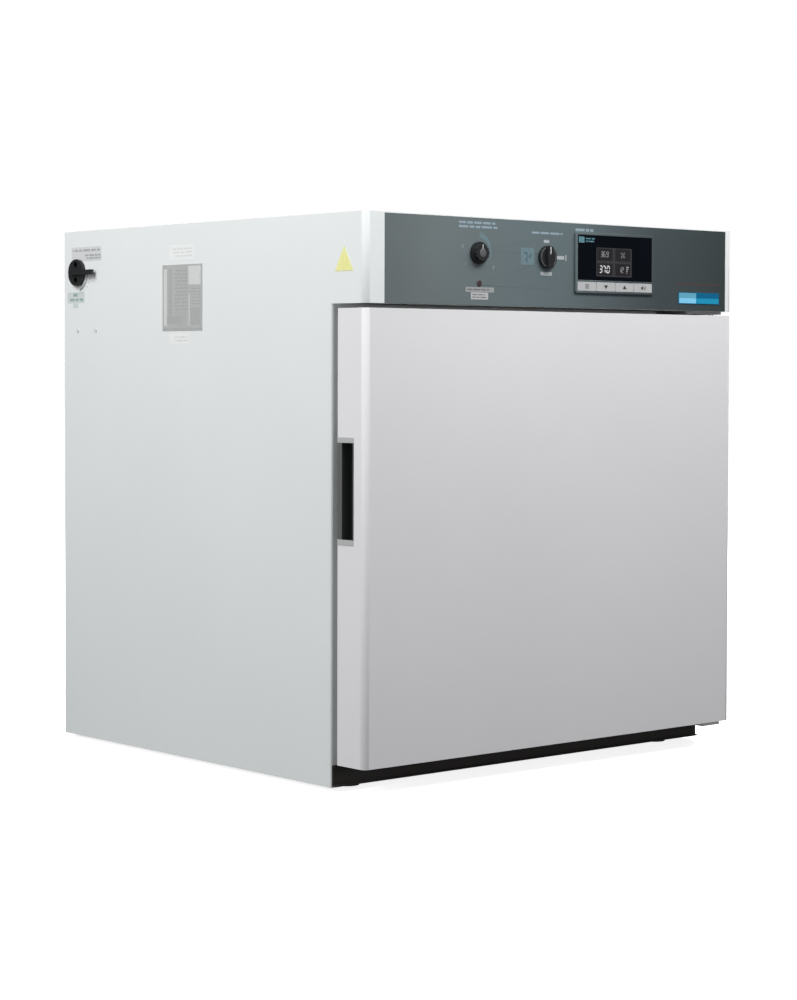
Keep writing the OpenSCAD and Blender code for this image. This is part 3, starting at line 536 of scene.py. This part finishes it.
def digits(bm, F, text, u, v, h, n0, n1, slant=0.08, gap=0.34):
    """Seven-segment numerals centred on (u, v), h tall; a point takes a third of a place."""
    w = h * 0.5
    t = h * 0.12
    width = sum(w * 0.42 if ch == "." else w + h * gap * 0.55 for ch in text)
    x = u - width / 2 + w / 2
    for ch in text:
        if ch == ".":
            slab(bm, F, bar(x - w * 0.42, v - h / 2 + t / 2, t, t, t * 0.2), n0, n1)
            x += w * 0.42
            continue
        for s in DIG[ch]:
            dx, dy, hor = SEG[s]
            cu, cv = x + dx * w, v + dy * h / 2 * (1 if hor else 1)
            if hor:
                L, T = w - t * 0.9, t / 2
                pts = [(cu - L / 2, cv), (cu - L / 2 + T, cv + T), (cu + L / 2 - T, cv + T), (cu + L / 2, cv), (cu + L / 2 - T, cv - T), (cu - L / 2 + T, cv - T)]
            else:
                L, T = h / 2 - t * 0.9, t / 2
                cv = v + dy * h / 2
                pts = [(cu, cv - L / 2), (cu + T, cv - L / 2 + T), (cu + T, cv + L / 2 - T), (cu, cv + L / 2), (cu - T, cv + L / 2 - T), (cu - T, cv - L / 2 + T)]
            pts = [(a + (b - v) * slant, b) for a, b in pts]
            slab(bm, F, pts, n0, n1)
        x += w + h * gap * 0.55


def rows_of_bars(bm, F, u0, v0, u1, v1, rows, n0, n1, seed=1, fill=0.5):
    """Stands for printed words: short bars of uneven length in rows."""
    import random
    rnd = random.Random(seed)
    h = (v1 - v0) / rows
    for r in range(rows):
        v = v1 - (r + 0.5) * h
        u = u0
        end = u1 - rnd.random() * (u1 - u0) * 0.22
        while u < end:
            L = min(end - u, h * (0.9 + rnd.random() * 2.6))
            if L > h * 0.4:
                slab(bm, F, rrect(u, v - h * fill / 2, u + L, v + h * fill / 2, h * 0.08, 2), n0, n1)
            u += L + h * 0.45


# ---------------------------------------------------------------- control head: prints
FR = face_frame("front", FY)
T0, T1 = -0.05, 0.12
LX, LZ = -177.0, HZ + 80
PX, PZ = -32.0, HZ + 78
DX = 119.0

bm = bmesh.new()
# limit dial: a band that widens as the limit rises, with a tick row outside it
arc_band(bm, FR, LX, LZ, 25.0, 26.4, 23.5, 32.0, -28, 84, T0, T1, 40)
for i in range(13):
    a = -45 + i * 22.5
    L = 4.5 if i % 3 == 0 else 2.6
    p = turn_pts(rrect(LX + 19.6, LZ - 0.45, LX + 19.6 + L, LZ + 0.45, 0.2, 2), LX, LZ, a)
    slab(bm, FR, p, T0, T1)
new_obj("print_limit_scale", bm, "teal", "cabinet")
bm = bmesh.new()
rows_of_bars(bm, FR, LX - 40, LZ + 36.5, LX + 40, LZ + 49, 2, T0, T1, 3, 0.55)
new_obj("print_limit_words", bm, "teal_words", "cabinet")

bm = bmesh.new()
digits(bm, FR, "1", LX - 27.5, LZ - 17.0, 5.2, T0, T1)
digits(bm, FR, "5", LX - 31.0, LZ + 9.0, 5.2, T0, T1)
digits(bm, FR, "9", LX + 32.0, LZ - 21.5, 5.2, T0, T1)
new_obj("print_limit_numbers", bm, "pale", "cabinet")

bm = bmesh.new()
# label under the limit dial and its lamp: a wide bar over a narrow one
slab(bm, FR, rrect(-203, HZ + 20.2, -144, HZ + 28.0, 1.2), T0, T1)
new_obj("print_limit_label", bm, "label_grey", "cabinet")
bm = bmesh.new()
slab(bm, FR, rrect(-192, HZ + 9.2, -156, HZ + 19.8, 1.2), T0, T1)
new_obj("print_limit_label_low", bm, "label_mid", "cabinet")
bm = bmesh.new()
rows_of_bars(bm, FR, -199, HZ + 22.0, -149, HZ + 26.4, 1, T1 - 0.03, T1 + 0.08, 11, 0.5)
rows_of_bars(bm, FR, -189, HZ + 10.6, -159, HZ + 18.4, 2, T1 - 0.03, T1 + 0.08, 12, 0.42)
new_obj("print_limit_label_words", bm, "words_grey", "cabinet")

bm = bmesh.new()
# power switch: large mark on the left, as wide as the knob
slab(bm, FR, rrect(-87, PZ - 13, -58.5, PZ + 13.5, 3.0), T0, T1)
new_obj("print_power_field", bm, "teal", "cabinet")
bm = bmesh.new()
rows_of_bars(bm, FR, -64, HZ + 112.5, 14, HZ + 118.5, 1, T0, T1, 5, 0.5)
new_obj("print_power_words", bm, "teal_words", "cabinet")
bm = bmesh.new()
# fan mark inside the field: a hub and three blades
slab(bm, FR, circle_pts(-72.7, PZ + 0.3, 2.0, 20), T1 - 0.03, T1 + 0.08)
for i in range(3):
    arc_band(bm, FR, -72.7, PZ + 0.3, 3.0, 6.0, 3.6, 10.4, 90 + i * 120, 150 + i * 120, T1 - 0.03, T1 + 0.08, 10)
new_obj("print_power_field_mark", bm, "teal_dark", "cabinet")

bm = bmesh.new()
# positions of the power switch: off below, on to the right, a dot above
slab(bm, FR, rrect(-11.5, PZ - 2.6, 7.0, PZ + 2.8, 0.8), T0, T1)
slab(bm, FR, rrect(9.6, PZ - 4.6, 11.8, PZ + 4.6, 0.6), T0, T1)
slab(bm, FR, rrect(-45.0, PZ - 28.6, -20.0, PZ - 23.0, 0.8), T0, T1)
slab(bm, FR, rrect(-38.0, PZ + 22.4, -26.0, PZ + 27.0, 0.8), T0, T1)
new_obj("print_power_positions", bm, "pale", "cabinet")

bm = bmesh.new()
# words over the display's left end, part on the fascia and part on the bezel
rows_of_bars(bm, FR, 32, HZ + 120.6, 74, HZ + 126.6, 1, T0, T1, 8, 0.7)
new_obj("print_display_title", bm, "teal_words", "cabinet")
bm = bmesh.new()
slab(bm, FR, rrect(266, HZ + 43.4, 370, HZ + 44.5, 0.4), T0, T1)
new_obj("print_red_rule", bm, "red", "cabinet")

# ---------------------------------------------------------------- display
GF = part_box("display_glass")[0][1]
GY = (GF - OY) * 1000
GL = face_frame("front", GY)
bm = bmesh.new()
slab(bm, GL, rrect(76, HZ + 51, 157, HZ + 97, 1.6), -0.05, 0.05)
new_obj("screen_area", bm, "lcd", "cabinet")
bm = bmesh.new()
for u, v in ((95.5, HZ + 86), (136.5, HZ + 86), (95.5, HZ + 62.5), (136.5, HZ + 62.5)):
    slab(bm, GL, rrect(u - 17.5, v - 9.6, u + 17.5, v + 9.6, 1.8), 0.03, 0.09)
new_obj("screen_tiles", bm, "lcd_tile", "cabinet")
bm = bmesh.new()
digits(bm, GL, "37.0", 95.5, HZ + 62.6, 10.5, 0.07, 0.13)
new_obj("screen_numbers", bm, "digit", "cabinet")
bm = bmesh.new()
digits(bm, GL, "36.9", 95.5, HZ + 86.6, 8.0, 0.07, 0.13)
new_obj("screen_numbers_small", bm, "digit_soft", "cabinet")
bm = bmesh.new()
digits(bm, GL, "12", 133.5, HZ + 62.6, 8.5, 0.07, 0.13)
for i in range(4):
    slab(bm, GL, rrect(144.5, HZ + 56.8 + i * 3.2, 146.2 + i * 1.3, HZ + 58.4 + i * 3.2, 0.3, 2), 0.07, 0.13)
new_obj("screen_level", bm, "digit_soft", "cabinet")
bm = bmesh.new()
slab(bm, GL, circle_pts(136.5, HZ + 86, 1.3, 16), 0.07, 0.13)
for i in range(4):
    arc_band(bm, GL, 136.5, HZ + 86, 1.8, 3.6, 2.4, 6.4, i * 90 + 10, i * 90 + 62, 0.07, 0.13, 8)
new_obj("screen_fan_mark", bm, "digit_dim", "cabinet")
bm = bmesh.new()
# printed words in the window's top left corner: a small block and two rows of words
slab(bm, GL, rrect(36.5, HZ + 103.5, 49.0, HZ + 113.2, 1.0), -0.05, 0.07)
rows_of_bars(bm, GL, 52, HZ + 104.0, 73, HZ + 112.5, 2, -0.05, 0.07, 21, 0.5)
new_obj("print_window_title", bm, "teal_glass", "cabinet")

# ---------------------------------------------------------------- keys
KF = face_frame("front", (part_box("key_menu")[0][1] - OY) * 1000)
for i, body in enumerate(("menu_key", "down_key", "up_key", "mute_key")):
    x0 = DX - 85.4 + i * 42.75
    cu, cv = x0 + 21, HZ + 34.5
    bm = bmesh.new()
    if i == 0:
        for k in (-1, 0, 1):
            slab(bm, KF, rrect(cu - 4.2, cv + k * 2.6 - 0.55, cu + 4.2, cv + k * 2.6 + 0.55, 0.4, 3), -0.05, 0.1)
    elif i in (1, 2):
        s = -1 if i == 1 else 1
        slab(bm, KF, [(cu - 4.4, cv - 2.6 * s), (cu + 4.4, cv - 2.6 * s), (cu, cv + 3.4 * s)], -0.05, 0.1)
    else:
        slab(bm, KF, [(cu - 4.6, cv - 1.5), (cu - 2.4, cv - 1.5), (cu + 0.2, cv - 3.9), (cu + 0.2, cv + 3.9), (cu - 2.4, cv + 1.5), (cu - 4.6, cv + 1.5)], -0.05, 0.1)
        for r in (3.2, 5.4):
            arc_band(bm, KF, cu + 0.2, cv, r - 0.45, r + 0.45, r - 0.45, r + 0.45, -42, 42, -0.05, 0.1, 10)
    new_obj("key_print_" + body, bm, "ink", body)

# ---------------------------------------------------------------- knobs
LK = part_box("limit_knob")[0][1]
LKF = face_frame("front", (LK - OY) * 1000)
bm = bmesh.new()
slab(bm, LKF, rrect(LX - 0.75, LZ + 3.4, LX + 0.75, LZ + 12.6, 0.3, 3), -0.95, -0.25)
new_obj("limit_pointer", bm, "white_ink", "limit_dial")
bm = bmesh.new()
# turned cap in the middle of the dial
prof = [(6.6, -0.4), (6.6, 0.0), (5.8, 0.35), (2.4, 0.5), (0.4, 0.5)]
loft(bm, LKF, [(circle_pts(LX, LZ, r, 40), n) for r, n in prof])
new_obj("limit_cap", bm, "knob_cap", "limit_dial")
SK = face_frame("front", (LK - OY) * 1000 + 12.8)
bm = bmesh.new()
for i in range(11):
    a = 90 - 135 + i * 27
    p = turn_pts(rrect(LX + 13.7, LZ - 0.35, LX + 16.1, LZ + 0.35, 0.15, 2), LX, LZ, a)
    slab(bm, SK, p, -0.35, 0.1)
new_obj("limit_skirt_ticks", bm, "white_ink", "limit_dial")

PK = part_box("power_knob")[0][1]
PKF = face_frame("front", (PK - OY) * 1000)
bm = bmesh.new()
slab(bm, PKF, rrect(PX - 0.8, PZ + 4.5, PX + 0.8, PZ + 15.8, 0.3, 3), -0.06, 0.1)
new_obj("power_pointer", bm, "white_ink", "power_switch")
PB = face_frame("front", -5.0)
bm = bmesh.new()
# shallow turned ring on the knob's base
arc_band(bm, PB, PX, PZ, 14.8, 16.4, 14.8, 16.4, 0, 360, -0.06, 0.25, 64)
new_obj("power_ring", bm, "knob_cap", "power_switch", bevel=0.1)

# bezel ring round the lamp
bm = bmesh.new()
LB = face_frame("front", FY)
loft(bm, LB, [(circle_pts(-175, HZ + 34, r, 40), n) for r, n in ((5.4, -0.05), (5.4, 0.5), (4.8, 0.95), (3.9, 0.95), (3.6, 0.4))], cap0=True, cap1=False)
new_obj("lamp_ring", bm, "knob_cap", "cabinet")

# ---------------------------------------------------------------- badge
BF = face_frame("front", (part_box("badge_plate")[0][1] - OY) * 1000)
bx0, bx1 = XW - 130.6, XW - 32.4
bz0, bz1 = HZ + 11.5, HZ + 30.0
bsplit = bx0 + 42
bm = bmesh.new()
slab(bm, BF, rrect(bx0 + 0.8, bz0 + 9.6, bsplit, bz1 - 0.8, 0.8), -0.05, 0.1)
new_obj("badge_field_a", bm, "badge_mid", "cabinet")
bm = bmesh.new()
slab(bm, BF, rrect(bx0 + 0.8, bz0 + 0.8, bsplit, bz0 + 9.4, 0.8), -0.05, 0.1)
new_obj("badge_field_b", bm, "blue_pale", "cabinet")
bm = bmesh.new()
slab(bm, BF, rrect(bsplit + 0.3, bz0 + 0.8, bx1 - 0.8, bz0 + 9.4, 0.8), -0.05, 0.1)
new_obj("badge_field_c", bm, "badge_cyan", "cabinet")
bm = bmesh.new()
slab(bm, BF, rrect(bsplit + 0.3, bz0 + 9.6, bx1 - 0.8, bz1 - 0.8, 0.8), -0.05, 0.1)
new_obj("badge_field_d", bm, "blue_dark", "cabinet")

# ---------------------------------------------------------------- left side: labels
LS = face_frame("left", -XW)
VY, VZ = YB - 42, HZ + 65
bm = bmesh.new()
slab(bm, LS, rrect(YB - 112, HZ + 84, YB - 22, HZ + 108, 1.5), T0, T1)
new_obj("vent_label", bm, "label_pale", "cabinet")
bm = bmesh.new()
rows_of_bars(bm, LS, YB - 108, HZ + 98.5, YB - 26, HZ + 106, 1, T1 - 0.03, T1 + 0.08, 31, 0.45)
rows_of_bars(bm, LS, YB - 110, HZ + 86.5, YB - 60, HZ + 96, 2, T1 - 0.03, T1 + 0.08, 32, 0.62)
new_obj("vent_label_words", bm, "vent_words", "cabinet")
bm = bmesh.new()
# scale of the vent lever: a band that narrows as the vent closes, with ticks
arc_band(bm, LS, VY, VZ, 27.2, 28.6, 27.2, 32.5, 186, 262, T0, T1, 30)
for i in range(7):
    p = turn_pts(rrect(VY + 34.0, VZ - 0.4, VY + 37.5, VZ + 0.4, 0.15, 2), VY, VZ, 184 + i * 13)
    slab(bm, LS, p, T0, T1)
new_obj("vent_scale", bm, "grey_print", "cabinet")
bm = bmesh.new()
slab(bm, LS, rrect(YB - 61, HZ + 13.4, YB - 9, HZ + 32, 1.2), T0, T1)
slab(bm, LS, rrect(YB - 42, HZ + 4.8, YB - 26, HZ + 13.0, 1.2), T0, T1)
new_obj("side_mark", bm, "label_teal", "cabinet")
bm = bmesh.new()
rows_of_bars(bm, LS, YB - 57, HZ + 15.5, YB - 13, HZ + 22.5, 1, T1 - 0.03, T1 + 0.08, 41, 0.6)
slab(bm, LS, rrect(YB - 40, HZ + 24.5, YB - 27, HZ + 30.0, 1.0), T1 - 0.03, T1 + 0.08)
new_obj("side_mark_words", bm, "side_teal", "cabinet")

# labels round the data plate
bm = bmesh.new()
slab(bm, LS, rrect(425, 808, 494, 833, 1.5), T0, T1)
slab(bm, LS, rrect(438, 673, 493, 690, 1.5), T0, T1)
new_obj("side_labels", bm, "white_label", "cabinet")
bm = bmesh.new()
rows_of_bars(bm, LS, 430, 812, 489, 829, 3, T1 - 0.03, T1 + 0.06, 51, 0.4)
rows_of_bars(bm, LS, 442, 676, 489, 687, 2, T1 - 0.03, T1 + 0.06, 52, 0.4)
new_obj("side_labels_words", bm, "faint_print", "cabinet")

DP = face_frame("left", (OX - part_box("data_plate")[0][0]) * -1000)
bm = bmesh.new()
# the plate's fields: a tall block, rows and a table, as on any rating plate
slab(bm, DP, rrect(485, 718, 495, 794, 0.8), -0.05, 0.07)
slab(bm, DP, rrect(458, 706, 499, 717.4, 0.8), -0.05, 0.07)
slab(bm, DP, rrect(408, 704, 434, 731, 0.8), -0.05, 0.07)
slab(bm, DP, rrect(404.5, 696.3, 510.5, 698.6, 0.4), -0.05, 0.07)
new_obj("data_plate_fields", bm, "plate_dark", "cabinet")
bm = bmesh.new()
slab(bm, DP, rrect(407, 768, 440, 798, 0.8), -0.05, 0.07)
slab(bm, DP, rrect(499.5, 702, 508, 794, 0.8), -0.05, 0.07)
slab(bm, DP, rrect(436.5, 702, 439, 754, 0.6), -0.05, 0.07)
new_obj("data_plate_light_fields", bm, "plate_light", "cabinet")
bm = bmesh.new()
rows_of_bars(bm, DP, 442, 726, 482, 794, 12, -0.05, 0.08, 61, 0.4)
rows_of_bars(bm, DP, 408, 735, 436, 764, 6, -0.05, 0.08, 62, 0.4)
new_obj("data_plate_words", bm, "plate_ink", "cabinet")

# thin darker edge of the yellow triangle
YT = face_frame("left", (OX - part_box("warning_sticker")[0][0]) * -1000)
bm = bmesh.new()
tri = [(27 + 2.4, 779 + 1.6), (70 - 2.4, 779 + 1.6), (48.5, 816 - 3.6)]
tri2 = [(48.5 + (u - 48.5) * 0.90, 791.3 + (v - 791.3) * 0.90) for u, v in tri]
rows = [[bm.verts.new(YT(u, v, n)) for u, v in pts] for pts, n in ((tri, -0.05), (tri, 0.07), (tri2, 0.07), (tri2, -0.05))]
for a, b in zip(rows, rows[1:] + rows[:1]):
    for i in range(3):
        bm.faces.new((a[i], a[(i + 1) % 3], b[(i + 1) % 3], b[i]))
new_obj("yellow_edge", bm, "yellow_dark", "cabinet")


# ---------------------------------------------------------------- camera and light
cam_data = bpy.data.cameras.new("camera")
cam = bpy.data.objects.new("camera", cam_data)
bpy.context.scene.collection.objects.link(cam)
yaw, pitch, roll = math.radians(40.789), math.radians(1.603), math.radians(0.137)
fw = Vector((math.sin(yaw) * math.cos(pitch), math.cos(yaw) * math.cos(pitch), -math.sin(pitch)))
rt = Vector((math.cos(yaw), -math.sin(yaw), 0))
up = rt.cross(fw)
rot = Matrix((rt, up, -fw)).transposed().to_4x4() @ Matrix.Rotation(roll, 4, "Z")
cam.matrix_world = Matrix.Translation(C(-2683.7, -2719.8, 636.4)) @ rot
cam_data.lens = 87.109
cam_data.sensor_width = 36
cam_data.sensor_fit = "AUTO"
cam_data.shift_y = -0.065
cam_data.clip_start = 0.05
cam_data.clip_end = 60
cam_data.dof.use_dof = False
bpy.context.scene.camera = cam
bpy.context.scene.view_settings.view_transform = "Standard"
bpy.context.scene.view_settings.look = "None"


def area(name, loc, target, size, power, size_y=None, col=(1, 1, 1)):
    l = bpy.data.lights.new(name, "AREA")
    l.energy = power
    l.color = col
    l.shape = "RECTANGLE"
    l.size = size
    l.size_y = size_y or size
    o = bpy.data.objects.new(name, l)
    bpy.context.scene.collection.objects.link(o)
    o.location = loc
    d = Vector(target) - Vector(loc)
    o.rotation_euler = d.to_track_quat("-Z", "Y").to_euler()
    return o


area("side_near", (-2.3, 0.2, 2.6), (-0.4, 0.1, 0.75), 2.2, 64, 1.2)
area("side_far", (-4.5, 0.2, 2.4), (-0.4, 0.0, 0.4), 2.6, 50, 1.6)
area("front_near", (0.25, -1.45, 2.0), (0.1, -0.4, 0.9), 2.4, 42, 0.6)
area("fill_front", (-0.3, -4.5, 0.85), (0.0, -0.3, 0.73), 1.8, 19, 0.7)
area("fill_left", (-3.6, -1.6, 0.8), (-0.2, -0.1, 0.7), 1.4, 15, 0.9)
area("rear_high", (2.9, 2.7, 2.8), (0.2, 0.2, 0.4), 2.6, 150, 1.8)

world = bpy.data.worlds.new("studio")
bpy.context.scene.world = world
world.use_nodes = True
wt = world.node_tree
wt.nodes.clear()
wo = wt.nodes.new("ShaderNodeOutputWorld")
bg_lit = wt.nodes.new("ShaderNodeBackground")
bg_lit.inputs[0].default_value = (1, 1, 1, 1)
bg_lit.inputs[1].default_value = 0.125
bg_cam = wt.nodes.new("ShaderNodeBackground")
bg_cam.inputs[0].default_value = (1, 1, 1, 1)
bg_cam.inputs[1].default_value = 1.0
lp = wt.nodes.new("ShaderNodeLightPath")
mx = wt.nodes.new("ShaderNodeMixShader")
wt.links.new(lp.outputs["Is Camera Ray"], mx.inputs[0])
wt.links.new(bg_lit.outputs[0], mx.inputs[1])
wt.links.new(bg_cam.outputs[0], mx.inputs[2])
wt.links.new(mx.outputs[0], wo.inputs[0])

# floor: pale, lit by the lights, and fading to white with the distance from the object
fm = NT("studio_floor")
fm.link(fm.mix(fm.ramp(fm.noise(fm.mapping(), 0.8, 2.0), 0, 1), (0.80, 0.80, 0.80), (0.82, 0.82, 0.82)), fm.b.inputs["Base Color"])
fm.b.inputs["Roughness"].default_value = 0.9
fm.b.inputs["Specular IOR Level"].default_value = 0.1
ln = fm.n("ShaderNodeVectorMath", operation="LENGTH")
fm.link(fm.co.outputs["Object"], ln.inputs[0])
fm.b.inputs["Emission Color"].default_value = (1, 1, 1, 1)
fm.link(fm.ramp(ln.outputs["Value"], 0.82, 1.0, 0.7, 2.4), fm.b.inputs["Emission Strength"])
bm = bmesh.new()
for a, b in ((-30, -30), (30, -30), (30, 30), (-30, 30)):
    bm.verts.new((a, b, 0))
bm.faces.new(bm.verts)
me = bpy.data.meshes.new("studio_floor")
bm.to_mesh(me)
bm.free()
floor = bpy.data.objects.new("studio_floor", me)
bpy.context.scene.collection.objects.link(floor)
me.materials.append(fm.m)
floor.visible_diffuse = False
floor.visible_glossy = False

# ---------------------------------------------------------------- worked edges of the carried-over parts
for node, w in (("side_panel_left", 0.5), ("side_panel_right", 0.5), ("top_cover", 0.5), ("door_skin", 0.55),
                ("control_fascia", 0.35), ("display_bezel", 0.5), ("display_glass", 0.3), ("handle_cup", 0.35), ("data_plate", 0.15),
                ("badge_plate", 0.2), ("toe_kick", 0.4), ("hinge_bracket_top", 0.6), ("hinge_bracket_bottom", 0.6), ("key_menu", 0.8),
                ("key_down", 0.8), ("key_up", 0.8), ("key_mute", 0.8), ("limit_knob", 0.3), ("power_knob", 0.5), ("vent_damper", 0.5),
                ("front_frame", 0.4), ("door_inner_panel", 0.5), ("glass_pane", 0.5), ("glass_hinge_leaves", 0.5), ("glass_hinge_posts", 0.5),
                ("glass_pull_knob", 0.7), ("glass_catch", 0.8), ("door_gasket", 1.6), ("glass_gasket", 0.8), ("feet", 0.8), ("pilot_lamp", 0.3),
                ("mains_inlet", 0.4), ("panel_screws", 0.3), ("shelf_lower", 0.25), ("shelf_middle", 0.25), ("shelf_upper", 0.25)):
    soften(node, w)
